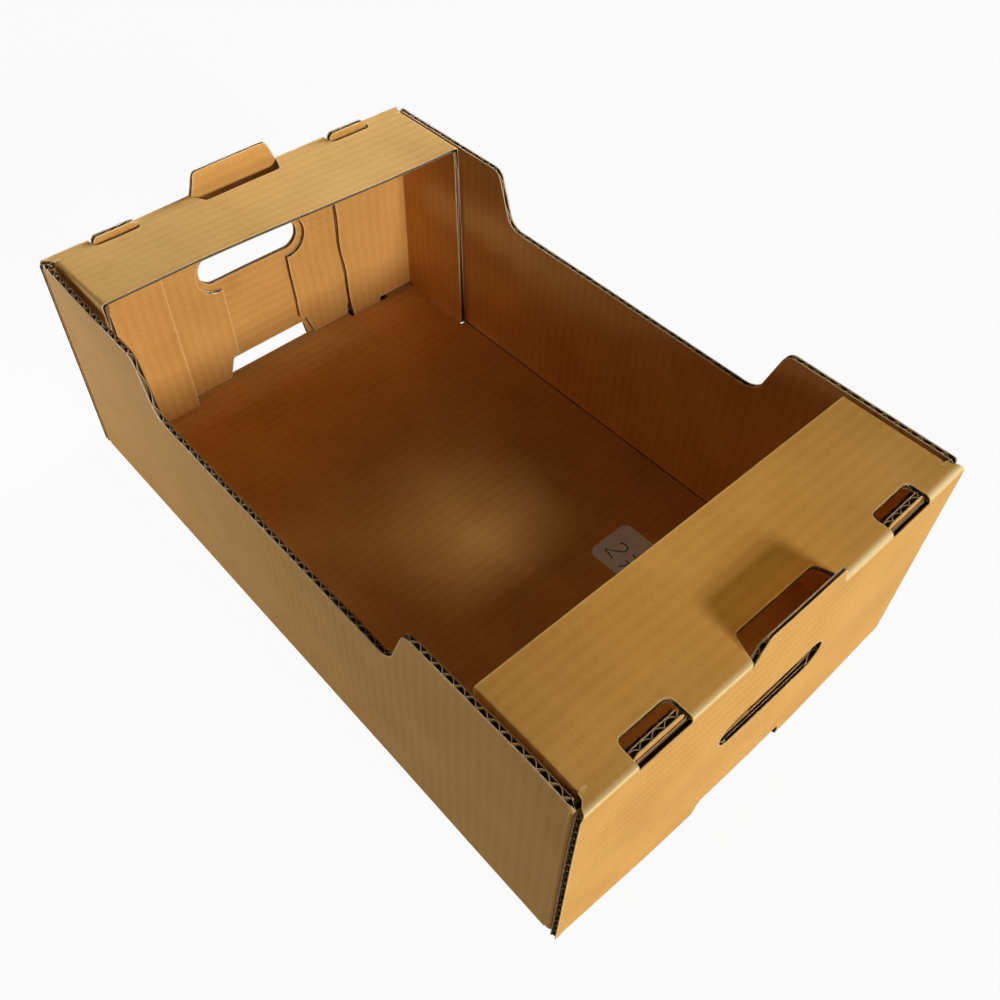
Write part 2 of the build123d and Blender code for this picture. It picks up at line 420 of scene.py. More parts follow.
def settleHandHole(x, y, z):
    # Around the hand holes the plies of the end walls have moved in their own plane
    end = "far" if y > 0 else "near"
    beside = settling["holeBeside"]
    share = smooth(*settling["holeFrom"], z) * (1 - smooth(*settling["holeTo"], z))
    share *= 1 - smooth(*beside, abs(x))
    share *= smooth(foldY - 16, foldY - 10, abs(y))
    shorter = settling["holeShorter"][end][0 if x < 0 else 1]
    if x < 0 and y < 0:
        wider = settling["notchWider"] * (1 - smooth(*settling["notchTo"], z))
        wider *= smooth(halfLength - 8, halfLength - 4, -y)    # of the end wall only
        x *= 1 + wider * (1 - smooth(*beside, -x))
    return x * (1 - shorter * share), y, z - settling["holeDrop"][end] * share


def settle(name, x, y, z):
    # Where a point of the straight folded sheet comes to lie
    across = x / halfWidth
    along = y / halfLength
    up = min(1.0, z / height)
    arch = max(0.0, math.cos(across * math.pi / 2))
    outerSide = smooth(0.86, 0.97, abs(across))
    outerEnd = smooth(0.70, 0.96, abs(along))
    spread = (settling["footX"] + (settling["topX"] - settling["footX"]) * up) / halfWidth
    sideBow = settling["sideBow"] * (1 - along * along) * smooth(0.0, 0.7, up) * outerSide
    endBow = settling["farBow"] * smooth(0.0, 0.6, up)
    if y < 0:
        endBow = settling["nearBow"] + settling["nearBulge"] * (1 - smooth(0.65, 1.0, up))
    endBow *= arch * outerEnd
    fade = 1 - smooth(0.85 * height, height + 2, z)
    place = Vector((x, y, z)) / settling["unevenSize"]
    wander = noise.noise_vector(place) * settling["unevenness"]
    x, y, z = settleHandHole(x, y, z)
    top = smooth(0.8, 1.0, up)
    corner = smooth(0.5, 1.0, -across) * top
    if name.endswith("SideFlap") or (name == "floorEnds" and top > 0):
        beside = smooth(-2, 3, foldY - abs(y))
        x += settling["shelfGap"] * smooth(0.7, 0.95, -across) * beside
        x -= settling["rightShelfGap"] * smooth(0.7, 0.95, across) * beside * (y < 0)
    if y > 0:
        x, y, z = settleFarEnd(name, x, y, z)
        z += settling["farCornerRise"] * corner * outerEnd
    elif name == "nearRightSideFlap":
        y += settling["lockShift"] * (1 - up)
    else:
        z -= settling["nearCornerDrop"] * corner * smooth(0.86, 0.99, -along)
        if name in ("nearRightFlap", "nearLeftFlap"):
            z -= settling["smallTabDrop"] * top * (1 - smooth(118, 130, abs(x)))
    newX = x * spread + math.copysign(sideBow, x) + wander.x * fade
    newY = y * settling["cornerY"] / halfLength + math.copysign(endBow, y) + wander.y * fade
    newZ = z + wander.z * fade
    return newX, newY, max(0.0, newZ)


strips = []


def pinchLines(end):
    return [end - math.copysign(board["pinchReach"] * f, end) for f in (1.0, 0.67, 0.33)]


def addStrip(name, loops, place, fluteAt, folds, fluteAlong, seams, rows=()):
    lines = [line for fold in folds for line in foldLines(fold)] + list(rows)
    roll = rolled["sheet"]
    for ending, amounts in rolled.items():
        if name.endswith(ending) and not name.endswith("SideFlap"):
            roll = amounts
    strips.append({"name": name, "loops": loops, "place": place, "fluteAt": fluteAt, "folds": folds,
                   "lines": lines, "fluteAlong": fluteAlong, "seams": seams, "roll": roll})


def mirroredStrip(name, loops, place, fluteAt, side, end, *rest):
    # A panel drawn for the far right corner and mirrored to where it belongs
    def placeThere(u, s, n):
        x, y, z = place(u, s, n)
        return side * x, end * y, z

    def fluteThere(u, s):
        x, y = fluteAt(u, s)
        return side * x, end * y

    addStrip(name, loops, placeThere, fluteThere, *rest)


trayCorners = (("farRight", 1, 1), ("nearRight", 1, -1), ("farLeft", -1, 1), ("nearLeft", -1, -1))


def lockNotch(edge, depth, along):
    # Cut for a lock tab in a folded edge, from low to high
    low, high = lockSlotFrom, lockSlotTo
    if along == "s":
        return [(edge, low), (edge - depth, low), (edge - depth, high), (edge, high)]
    return [(low, edge), (low, edge + depth), (high, edge + depth), (high, edge)]


def rectangle(x0, x1, y0, y1, radius=None):
    # Corners of a hole; a radius rounds the two at y1
    far = () if radius is None else (radius,)
    return [(x0, y0), (x1, y0), (x1, y1) + far, (x0, y1) + far]


def longStripLoops():
    # Floor, end walls and shelves; one quarter, then mirrored
    gap = board["cutGap"]
    slit = foldX + tray["slit"]
    footTop = wallFrom - foldOuter + tray["footGap"]
    lockDepth = foldX - (sideFlapOuterX - thick - board["plyGap"])
    quarter = lockNotch(foldX, lockDepth, "s") + [
        (foldX, cornerFoldY),
        (foldX, wallFrom),
        (slit, wallFrom),
        (slit, footTop),
        (halfWidth, footTop),
        (halfWidth, topFrom),
        (halfWidth - board["plyGap"], topFrom + gap),
        (sideFlapOuterX, shelfFrom + gap),
        (sideFlapOuterX, shelfFrom + foldY - earCut),
        (sideFoldX, shelfFrom + foldY - earCut),
        (sideFoldX, sheetEnd),
    ]
    half = [(u, s) for u, s in quarter] + [(-u, s) for u, s in reversed(quarter)]
    loops = [roundedLoop(half + [(-u, -s) for u, s in half])]
    radius = tray["handHoleHeight"] / 2
    halfHole = tray["handHoleWidth"] / 2
    holeMiddle = wallFrom + tray["handHoleLevel"] - foldOuter
    handHole = [(u * halfHole, holeMiddle + s * radius, radius - 0.01)
                for u, s in ((1, -1), (1, 1), (-1, 1), (-1, -1))]
    base = tray["tabBase"] / 2
    reach = foldOuter + tray["tabRise"]
    tabSlot = [
        (base, topFrom), (base + gap, topFrom),
        (tray["tabTop"] / 2 + gap, topFrom + reach, tray["tabRadius"]),
        (-tray["tabTop"] / 2 - gap, topFrom + reach, tray["tabRadius"]),
        (-base - gap, topFrom), (-base, topFrom),
    ]
    notchTop = wallFrom + tray["notchHeight"] - foldOuter
    notchFoot = base + tray["notchFootMore"]
    notchHalf = base - tray["notchTopLess"]
    notch = [
        (notchFoot, foldY), (notchHalf, notchTop, tray["tabRadius"]),
        (-notchHalf, notchTop, tray["tabRadius"]), (-notchFoot, foldY),
    ]
    place = tray["smallTabPlace"]
    smallHalf = tray["smallTabWidth"] / 2 + gap
    smallFront = shelfFrom + foldY - (flapOuterY - thick - tray["smallSlotFront"])
    floorHalf = tray["floorSlotWidth"] / 2
    floorIn = wingOuterY - thick - board["plyGap"]
    floorSlot = rectangle(place - floorHalf, place + floorHalf, floorIn, foldY + 1)
    for flipS, slotEnd in ((1, smallFront), (-1, smallFront + tray["nearSlotMore"])):
        smallSlot = rectangle(place - smallHalf, place + smallHalf, topFrom, slotEnd,
                              tray["smallSlotRadius"])
        for hole in (handHole, tabSlot, notch):
            loops.append(mirroredLoop(roundedLoop(hole), 1, flipS))
        for flipU in (1, -1):
            for hole in (smallSlot, floorSlot):
                loops.append(mirroredLoop(roundedLoop(hole), flipU, flipS))
    return loops


def placeLong(u, s, n):
    n *= 1 - board["shelfPinch"] * smooth(sheetEnd - board["pinchReach"], sheetEnd, abs(s))
    if abs(u) > foldX + tray["slit"] / 2 and abs(s) < wallFrom:
        y, z = halfLength - n, foldOuter + abs(s) - wallFrom
    elif s < -wallFrom:
        # The near top fold is sharp at its left end and softer at its right
        power = board["sharpFoldPower"]
        power += (board["softFoldPower"] - power) * smooth(-110, 60, u)
        y, z = follow(longPath, abs(s), n, power)
    else:
        y, z = follow(longPath, abs(s), n)
    return u, math.copysign(y, s), z


def makeLongStrip():
    folds = [foldY, topFrom, -foldY - arc, -topFrom - arc]
    earEnd = shelfFrom + foldY - earCut
    base = tray["tabBase"] / 2
    seams = []
    for flipU in (1, -1):
        edge, shelfSide = flipU * foldX, flipU * sideFoldX
        seams.append(((edge, -lockSlotFrom), (edge, lockSlotFrom)))
        for flipS in (1, -1):
            seams.append(((edge, flipS * lockSlotTo), (edge, flipS * cornerFoldY)))
            seams.append(((shelfSide, flipS * earEnd), (shelfSide, flipS * sheetEnd)))
    for flipS in (1, -1):
        seams.append(((-base, flipS * topFrom), (base, flipS * topFrom)))
    addStrip("floorEnds", longStripLoops(), placeLong, lambda u, s: (u, s), folds, "u", seams,
             pinchLines(sheetEnd) + pinchLines(-sheetEnd))


def makeTabStrips():
    reach = foldOuter + tray["tabRise"]
    base = tray["tabBase"] / 2
    top = tray["tabTop"] / 2
    radius = tray["tabRadius"]
    outline = [(base, 0.0), (top, reach, radius), (-top, reach, radius), (-base, 0.0)]
    seams = [((-base, 0.0), (base, 0.0))]

    def place(u, s, n):
        n *= 1 - board["tabPinch"] * smooth(reach - board["pinchReach"], reach, s)
        return u, halfLength - n, topFoldZ + s

    for name, end in (("farTab", 1), ("nearTab", -1)):
        mirroredStrip(name, [roundedLoop(outline)], place, lambda u, s: (u, topFrom + s), 1, end,
                      [], "u", seams, pinchLines(reach))


def makeSideStrips():
    # Side walls with their floor folds
    top = arc + height - foldOuter
    low = arc + tray["lowHeight"] - foldOuter
    slope = tray["lowHalfLength"] + tray["slopeRun"]
    half = lockNotch(0.0, tray["wallLockDepth"], "u") + [
        (cornerFoldY, 0.0),
        (cornerFoldY, arc),
        (cornerFoldY, top),
        (slope, top, tray["slopeTopRadius"]),
        (tray["lowHalfLength"], low, tray["slopeLowRadius"]),
    ]
    outline = half + [(-c[0],) + tuple(c[1:]) for c in reversed(half)]
    seams = [((-lockSlotFrom, 0.0), (lockSlotFrom, 0.0))]
    for flip in (1, -1):
        seams.append(((flip * lockSlotTo, 0.0), (flip * cornerFoldY, 0.0)))
        seams.append(((flip * cornerFoldY, arc), (flip * cornerFoldY, top)))

    def place(u, s, n):
        x, z = follow(sidePath, s, n)
        return x, u, z

    for name, side in (("rightWall", 1), ("leftWall", -1)):
        mirroredStrip(name, [roundedLoop(outline)], place, lambda u, s: (foldX + s, u), side, 1,
                      [0.0], "s", seams)


def endFlapLoop():
    # End flap in (height, distance from the corner fold), with its small tab and its foot
    def past(x):
        return arc + foldX - x

    place = tray["smallTabPlace"]
    tabOut = place + tray["smallTabWidth"] / 2
    tabIn = place - tray["smallTabWidth"] / 2
    tabZ = height + tray["smallTabRise"]
    bevel = tray["smallTabBevel"]
    holeHalf = tray["handHoleWidth"] / 2 + tray["handHoleMargin"]
    holeRadius = tray["handHoleHeight"] / 2 + tray["handHoleMargin"]
    level = tray["handHoleLevel"]
    edge = tray["flapEdge"]
    step = tray["flapStep"]
    notchIn = place - tray["floorSlotWidth"] / 2 - tray["flapNotchPlay"]
    notchOut = place + tray["floorSlotWidth"] / 2 + tray["flapNotchPlay"]
    notchTop = tray["flapNotchHeight"]
    notchRadius = tray["flapNotchRadius"]
    return roundedLoop([
        (foldOuter, 0.0),
        (height, 0.0),
        (height, tray["cornerHigh"] * arc),
        (flapTop, tray["cornerLow"] * arc),
        (flapTop, past(tabOut)),
        (tabZ - bevel, past(tabOut), 2.0),
        (tabZ, past(tabOut - bevel), 2.0),
        (tabZ, past(tabIn + bevel)),
        (tabZ - bevel, past(tabIn)),
        (flapTop, past(tabIn)),
        (flapTop, past(edge)),
        (level + holeRadius, past(edge)),
        (level + holeRadius, past(holeHalf), holeRadius - 0.01),
        (level - holeRadius, past(holeHalf), holeRadius - 0.01),
        (level - holeRadius, past(edge)),
        (tray["flapStepLevel"], past(edge)),
        (tray["flapStepLevel"] - step / 2, past(edge + step)),
        (footClear, past(tray["flapFootEdge"])),
        (footClear, past(notchIn)),
        (notchTop, past(notchIn), notchRadius),
        (notchTop, past(notchOut), notchRadius),
        (footClear, past(notchOut)),
        (footClear, arc),
    ])


def makeEndFlapStrips():
    loops = [endFlapLoop()]
    seams = [((foldOuter, 0.0), (height, 0.0))]

    def place(u, s, n):
        x, y = follow(cornerPath, s, n)
        return x, y, u

    def fluteAt(u, s):
        return foldX + arc - foldOuter + u, cornerFoldY + s

    for corner, side, end in trayCorners:
        mirroredStrip(corner + "Flap", loops, place, fluteAt, side, end, [0.0], "u", seams)


def makeShelfCornerStrips():
    # Side flaps that fold down from the shelves, and the wings that turn from them
    def down(z):
        return arc + topFoldZ - z

    foot = tray["footGap"]
    flap = roundedLoop([
        (shelfEdge, 0.0),
        (earCut, 0.0),
        (earCut, down(wingTop)),
        (wingFoldY, down(wingTop)),
        (wingFoldY, down(tray["wingLift"])),
        (wingFoldY - board["cutGap"], down(footClear)),
        (lockTo, down(footClear)),
        (lockTo, down(foot), 2.0),
        (lockFrom, down(foot), 2.0),
        (lockFrom, down(footClear)),
        (shelfEdge - tray["flapFlare"], down(footClear)),
        (shelfEdge, arc),
    ])
    flapSeams = [
        ((shelfEdge, 0.0), (earCut, 0.0)),
        ((wingFoldY, down(wingTop)), (wingFoldY, down(tray["wingLift"]))),
    ]

    def past(x):
        return arc + sideFoldX - x

    edge = tray["wingEdge"]
    wing = roundedLoop([
        (tray["wingLift"], 0.0),
        (wingTop, 0.0),
        (wingTop, past(edge)),
        (foot, past(edge), 2.5),
        (foot, past(edge + tray["wingTabWidth"]), 2.5),
        (tray["wingLift"], past(edge + tray["wingTabWidth"])),
    ])
    wingSeams = [((tray["wingLift"], 0.0), (wingTop, 0.0))]

    def placeFlap(u, s, n):
        x, z = follow(shelfSidePath, s, n)
        return x, u, z

    def flapFlute(u, s):
        return sideFoldX + s, shelfFrom + foldY - u

    def placeWing(u, s, n):
        x, y = follow(wingPath, s, n)
        return x, y, u

    def wingFlute(u, s):
        return sideFoldX + down(u), shelfFrom + foldY - wingFoldY - s

    for corner, side, end in trayCorners:
        mirroredStrip(corner + "SideFlap", [flap], placeFlap, flapFlute, side, end,
                      [0.0], "s", flapSeams)
        mirroredStrip(corner + "Wing", [wing], placeWing, wingFlute, side, end,
                      [0.0], "u", wingSeams)


makeLongStrip()
makeTabStrips()
makeSideStrips()
makeEndFlapStrips()
makeShelfCornerStrips()
print("sheet laid out in", len(strips), "strips")


def facesOut(strip):
    # Whether a turn from u to s, seen from outside the sheet, is anticlockwise
    ring = np.array(strip["loops"][0])
    u, s = ring[:, 0].mean(), ring[:, 1].mean() + 1.0
    place = strip["place"]
    here = Vector(place(u, s, 0.0))
    alongU = Vector(place(u + 1, s, 0.0)) - here
    alongS = Vector(place(u, s + 1, 0.0)) - here
    out = here - Vector(place(u, s, 1.0))
    return alongU.cross(alongS).dot(out) > 0


def foldRows(points, lines, rings):
    # Edges along every row of a fold, so that no face spans two rows
    rows = []
    places = np.array(points)
    for line in lines:
        onLine = np.flatnonzero(np.abs(places[:, 1] - line) < 1e-6)
        onLine = onLine[np.argsort(places[onLine, 0])]
        middles = (places[onLine[:-1]] + places[onLine[1:]]) / 2
        middles[:, 1] += 1e-4
        above = insideLoops(middles, rings)
        middles[:, 1] -= 2e-4
        below = insideLoops(middles, rings)
        for a, b, inside in zip(onLine, onLine[1:], above & below):
            if inside:
                rows.append((int(a), int(b)))
    return rows


def foldWearAndHighlightAt(folds, u, s):
    # 1 in the middle of a fold, 0 beyond its ends, for wear together with a painted highlight along the
    # fold; on the near top fold that painted highlight is wider to the right
    best = 0.0
    for fold in folds:
        best = max(best, 1 - abs(s - fold - arc / 2) / (arc / 2))
    return min(1.0, 1.4 * best ** (3.5 - 2.0 * smooth(-110, 80, u) if s < 0 else 3.5))


def foldWearAndPaintedLightOf(strip, u, s, n):
    # Above 0 where a fold is worn pale with a painted highlight, below 0 where the inner side of a
    # wall's floor fold is darkened with painted shade
    if strip["name"] == "floorEnds":
        return foldWearAndHighlightAt(strip["folds"], u, s)
    if strip["name"].endswith("Wall") and n > thick / 2:
        return -max(0.0, 1 - abs(s - arc / 2) / (arc / 2))
    return 0.0


def panelPoints(strip, rings):
    # Points on a grid inside a panel, and in a row beside its cut edges
    outer = np.array(rings[0])
    low, high = outer.min(0), outer.max(0)
    inset = board["edgeInset"]
    lines = np.array(strip["lines"] or [1e9])
    stops = []
    for axis in (0, 1):
        count = max(2, int((high[axis] - low[axis]) / board["faceStep"]) + 2)
        stops.append(list(np.linspace(low[axis], high[axis], count)[1:-1]))
    rows = [row for row in stops[1] if np.abs(lines - row).min() > 1.5] + strip["lines"]
    grid = np.array([(u, s) for s in sorted(rows) for u in stops[0]])
    extra = insetPoints(rings, inset)
    fromLines = np.abs(extra[:, 1][:, None] - lines)
    beside = fromLines.min(1) < 0.5 * inset
    extra[beside, 1] = lines[fromLines.argmin(1)[beside]]
    points = []
    for places, clear in ((grid, 2 * inset), (extra, 0.6 * inset)):
        keep = insideLoops(places, rings)
        for ring in rings:
            keep &= ringDistance(places, ring) > clear
        points += [tuple(p) for p in places[keep]]
    return points


def triangulated(points, edges, rings):
    # Triangles over what the rings enclose, as flat points and faces
    found, _, faces, *_ = delaunay_2d_cdt([Vector(p) for p in points], edges, [], 0, 1e-5)
    flat = np.array([(v.x, v.y) for v in found])
    faces = np.array([f for f in faces if len(f) == 3])
    return flat, faces[insideLoops(flat[faces].mean(1), rings)]


def borderPairs(faces):
    # Edges used by one triangle only, in that triangle's direction
    used = dict.fromkeys(pair for a, b, c in faces for pair in ((a, b), (b, c), (c, a)))
    return [pair for pair in used if (pair[1], pair[0]) not in used]


def addPoint(store, strip, inSheet, flatPlace):
    # A point at (u, s, depth), which keeps its place on the flat board for the materials
    folded = settle(strip["name"], *strip["place"](*inSheet))
    store["points"].append(tuple(v * mm for v in folded))
    store["places"].append(tuple(v * mm for v in flatPlace))


def addFace(store, face, kind, forward=True):
    store["faces"].append(face if forward else face[::-1])
    store["kinds"].append(kind)


def cutDepth(strip, level, n, along, wave):
    # At a cut edge a liner bends in or out, and its inner skin rolls towards the medium
    size, roughSize = board["lipSizes"]
    n += board["lipBend"] * noise.noise((along / size, wave / size, 9.0 if level < 2 else 4.0))
    rough = 1 + 0.6 * noise.noise((along / roughSize, wave / roughSize, 6.0))
    if level == 1:
        n += strip["roll"][0] * rough
    elif level == 2:
        n -= strip["roll"][1] * rough
    return n


def linerFaces(strip, store):
    # Both liners of a panel, each a thin closed skin
    rings = [divided(loop, strip["lines"]) for loop in strip["loops"]]
    seams = strip["seams"]
    points = [p for ring in rings for p in ring]
    edges = []
    for ring in rings:
        first = len(edges)
        edges += [(first + k, first + (k + 1) % len(ring)) for k in range(len(ring))]
    points += panelPoints(strip, rings)
    edges += foldRows(points, strip["lines"], rings)
    flat, faces = triangulated(points, edges, rings)
    cut = [(a, b) for a, b in borderPairs(faces) if not onSeam(seams, *(flat[a] + flat[b]) / 2)]
    atCut = set(v for pair in cut for v in pair if not onSeam(seams, *flat[v]))
    cutPairs = np.array(cut)
    fromCut = edgeDistance(flat, flat[cutPairs[:, 0]], flat[cutPairs[:, 1]])
    start = len(store["points"])
    count = len(flat)
    for level, n in enumerate((0.0, board["liner"], thick - board["liner"], thick)):
        for k, (u, s) in enumerate(flat):
            along, wave = strip["fluteAt"](u, s)
            depth = cutDepth(strip, level, n, along, wave) if k in atCut else n
            addPoint(store, strip, (u, s, depth), (along, wave, n))
            store["edges"].append(fromCut[k])
            store["foldWearAndPaintedLightValues"].append(foldWearAndPaintedLightOf(strip, u, s, n))
    # Materials: 0 outer liner, 1 inner liner, 2 cut rim, 3 core, hidden or dark as painted shade in the
    # flute hollows
    out = facesOut(strip)
    for level, kind in enumerate((0, 3, 3, 1)):
        for face in faces + (start + level * count):
            addFace(store, tuple(face), kind, out == (level in (0, 2)))
    for level in (0, 2):
        top = start + level * count
        bottom = top + count
        # The inner cut edge of those panels is painted dark as shade
        kind = 3 if level and strip["name"] in paintedShadeEdges else 2
        for a, b in cut:
            addFace(store, (b + top, a + top, a + bottom, b + bottom), kind, out)


def crossings(loops, w, axis):
    # Sorted places where the line at w crosses the outline; axis 1 scans s, axis 0 scans u
    found = []
    for loop in loops:
        for k, p in enumerate(loop):
            q = loop[(k + 1) % len(loop)]
            if (p[axis] > w) != (q[axis] > w):
                f = (w - p[axis]) / (q[axis] - p[axis])
                found.append(p[1 - axis] + f * (q[1 - axis] - p[1 - axis]))
    found.sort()
    return list(zip(found[::2], found[1::2]))


def archHeight(phase):
    # The medium stands in arches, narrow where it meets the outer liner; height 0 to 1 and slope
    power = board["archPower"]
    probe = 0.05
    rise = abs(math.sin(phase)) ** power
    ahead = abs(math.sin(phase + probe)) ** power
    return rise, (ahead - rise) / probe * math.pi / board["pitch"] * (thick - 2 * board["liner"])


def fluteLine(strip, store, axis, w, a, b):
    # The medium from a to b along the flutes, as (stop, first of its two points)
    steps = max(1, math.ceil((b - a) / board["rowStep"]))
    stops = [a + (b - a) * j / steps for j in range(steps + 1)]
    if axis == 0:
        stops += [fold for fold in strip["lines"] if a + 0.5 < fold < b - 0.5]
    amplitude = thick / 2 - board["liner"] - board["medium"] / 2
    lowest = board["liner"] + 0.01
    driftAlong, driftAcross = board["driftSizes"]
    line = []
    for stop in sorted(stops):
        u, s = (stop, w) if axis == 1 else (w, stop)
        along, wave = strip["fluteAt"](u, s)
        phase = math.pi * wave / board["pitch"]
        phase += board["drift"] * noise.noise((along / driftAlong, wave / driftAcross, 3.0))
        rise, slope = archHeight(phase)
        half = board["medium"] / 2 * min(1.8, math.sqrt(1 + slope * slope))
        middle = thick / 2 + amplitude * (2 * rise - 1)
        line.append((stop, len(store["points"])))
        for n in (middle - half, middle + half):
            n = min(max(n, lowest), thick - board["liner"] - 0.01)
            addPoint(store, strip, (u, s, n), (along, wave, n))
    return line


def fluteRows(strip, store, dice):
    # Rows across the flutes: the lines in each, and whether they join those of the row before
    axis = 1 if strip["fluteAlong"] == "u" else 0
    values = [p[axis] for p in strip["loops"][0]]
    step = board["pitch"] / board["samples"]
    margin = board["fluteMargin"]
    rows = []
    for k in range(int((max(values) - min(values) - 2 * margin) / step) + 1):
        w = min(values) + margin + k * step
        row = []
        for a, b in crossings(strip["loops"], w, axis):
            if b - a > board["narrowest"]:
                a += dice.uniform(0.05, board["ragged"])
                b -= dice.uniform(0.05, board["ragged"])
                row.append(fluteLine(strip, store, axis, w, a, b))
        previous = rows[-1][0] if rows else []
        joined = bool(rows) and len(previous) == len(row) and all(
            p[0][0] < q[-1][0] and q[0][0] < p[-1][0] for p, q in zip(previous, row))
        rows.append((row, joined))
    return rows


def joinLines(store, before, line):
    # Both faces of the medium between two neighbouring lines, and its two ends
    i = j = 0
    while i < len(before) - 1 or j < len(line) - 1:
        onBefore = i < len(before) - 1
        if j == len(line) - 1 or (onBefore and before[i + 1][0] <= line[j + 1][0]):
            face = (before[i][1], before[i + 1][1], line[j][1])
            i += 1
        else:
            face = (before[i][1], line[j + 1][1], line[j][1])
            j += 1
        addFace(store, face, 0)
        addFace(store, tuple(v + 1 for v in face), 0, False)
    for end in (0, -1):
        p, q = before[end][1], line[end][1]
        addFace(store, (p, q, q + 1, p + 1), 1, end == 0)


def fluteFaces(strip, store, dice):
    # The waved medium between the liners; materials: 0 core, dark as painted shade in the flute hollows,
    # 1 cut rim
    rows = fluteRows(strip, store, dice)
    for k, (row, joined) in enumerate(rows):
        last = k + 1 == len(rows) or not rows[k + 1][1]
        if last or not joined:
            for line in row:
                for (_, p), (_, q) in zip(line, line[1:]):
                    addFace(store, (p, q, q + 1, p + 1), 1, last)
        if joined:
            for before, line in zip(rows[k - 1][0], row):
                joinLines(store, before, line)


def meshObject(name, store, materials, smoothAngle):
    mesh = bpy.data.meshes.new(name)
    mesh.from_pydata(store["points"], [], store["faces"])
    for attribute, kind, key in (("sheetPlace", "FLOAT_VECTOR", "places"), ("cutEdge", "FLOAT", "edges"),
                                 ("foldWearAndPaintedLight", "FLOAT", "foldWearAndPaintedLightValues")):
        if store.get(key):
            layer = mesh.attributes.new(attribute, kind, "POINT")
            slotName = "vector" if kind == "FLOAT_VECTOR" else "value"
            layer.data.foreach_set(slotName, np.array(store[key], np.float32).ravel())
    for material in materials:
        mesh.materials.append(material)
    if store.get("kinds"):
        mesh.polygons.foreach_set("material_index", np.array(store["kinds"], np.int32))
    mesh.validate()
    mesh.update()
    piece = bpy.data.objects.new(name, mesh)
    bpy.context.scene.collection.objects.link(piece)
    mesh.shade_smooth()
    mesh.set_sharp_from_angle(angle=math.radians(smoothAngle))
    return piece


def newMaterial(name, finish):
    material = bpy.data.materials.new(name)
    material.use_nodes = True
    tree = material.node_tree
    shader = tree.nodes["Principled BSDF"]
    shader.inputs["Roughness"].default_value = finish["roughness"]
    shader.inputs["Specular IOR Level"].default_value = finish["specular"]
    return material, tree, shader


def addMath(tree, operation, *values, clamp=False):
    node = tree.nodes.new("ShaderNodeMath")
    node.operation = operation
    node.use_clamp = clamp
    for socket, value in zip(node.inputs, values):
        if isinstance(value, (int, float)):
            socket.default_value = value
        else:
            tree.links.new(value, socket)
    return node.outputs[0]


def addSum(tree, parts, total=0.0):
    # The sum of sockets, each times its share
    for value, share in parts:
        total = addMath(tree, "MULTIPLY_ADD", value, share, total)
    return total


def addBlend(tree, factor, first, second):
    node = tree.nodes.new("ShaderNodeMix")
    node.data_type = "RGBA"
    for socket, value in ((node.inputs[0], factor), (node.inputs[6], first), (node.inputs[7], second)):
        if isinstance(value, bpy.types.NodeSocket):
            tree.links.new(value, socket)
        else:
            socket.default_value = (*value, 1)
    return node.outputs[2]


def addNoise(tree, place, scale, detail, stretch=(1.0, 1.0, 1.0)):
    mapping = tree.nodes.new("ShaderNodeVectorMath")
    mapping.operation = "MULTIPLY"
    mapping.inputs[1].default_value = stretch
    tree.links.new(place, mapping.inputs[0])
    node = tree.nodes.new("ShaderNodeTexNoise")
    node.inputs["Scale"].default_value = scale
    node.inputs["Detail"].default_value = detail
    tree.links.new(mapping.outputs[0], node.inputs["Vector"])
    return node.outputs["Fac"]


def addRange(tree, value, low, high, newLow=0.0, newHigh=1.0):
    node = tree.nodes.new("ShaderNodeMapRange")
    tree.links.new(value, node.inputs[0])
    for socket, number in zip(node.inputs[1:5], (low, high, newLow, newHigh)):
        socket.default_value = number
    return node.outputs[0]


def addAttribute(tree, name, output):
    node = tree.nodes.new("ShaderNodeAttribute")
    node.attribute_name = name
    return node.outputs[output]


def addBump(tree, shader, relief):
    # Relief is in mm
    bump = tree.nodes.new("ShaderNodeBump")
    bump.inputs["Strength"].default_value = 1.0
    bump.inputs["Distance"].default_value = mm
    tree.links.new(relief, bump.inputs["Height"])
    tree.links.new(bump.outputs[0], shader.inputs["Normal"])


# Kraft paper of the liners: colours are linear, sizes in mm
kraftFinish = {
    "outer": (0.72, 0.385, 0.095),
    "inner": (0.66, 0.335, 0.085),
    "roughness": 0.74,
    "specular": 0.22,
    "cloudSize": 42.0,
    "patchScale": 6.0,
    "fibreAcross": 0.7,
    "fibreAlong": 4.5,
    "longFibre": 0.06,        # its stretch
    "washWander": 2.5,
    "toneShares": (0.55, 0.42, 0.20, 0.45, 0.055),   # cloud, fibre, long fibre, patch, washboard, the last a painted shade along the flutes
    "toneStart": -0.31,
    "rampEnds": ((0.2, (0.84, 0.78, 0.66)), (0.8, (1.13, 1.18, 1.32))),
    # Flecks: size, from and to in the noise, share, colour
    "flecks": ((1.3, 0.70, 0.76, 0.45, (0.30, 0.17, 0.06)), (0.78, 0.68, 0.80, 0.35, (1.0, 0.80, 0.42))),
    # Pale colour of worn cut edges, and of the folds, where it is wear and a painted highlight
    "wornAndHighlight": (1.0, 0.80, 0.42),
    "edgeWear": 1.0,
    # Painted shade in the inner folds of the walls, and how strongly it comes in
    "paintedFoldShade": (0.05, 0.02, 0.008),
    "paintedFoldShadeShare": -1.3,
    "reliefs": (0.035, 0.03, 0.20),                  # washboard, fibre, cloud
}
# Cut or hidden board of short torn fibres; each grain is its scale, detail and share
rimFinish = {
    "color": (0.68, 0.50, 0.29),
    "roughness": 0.9,
    "specular": 0.1,
    "grains": ((1600.0, 3.0, 0.6), (420.0, 2.0, 0.4)),
    "range": (0.32, 0.68),
    "tones": (0.62, 1.28),
    "relief": 0.05,
}
# The core between the liners, dark as painted shade in the flute hollows
paintedShadeCoreFinish = dict(rimFinish, color=(0.26, 0.15, 0.065), relief=0.03)


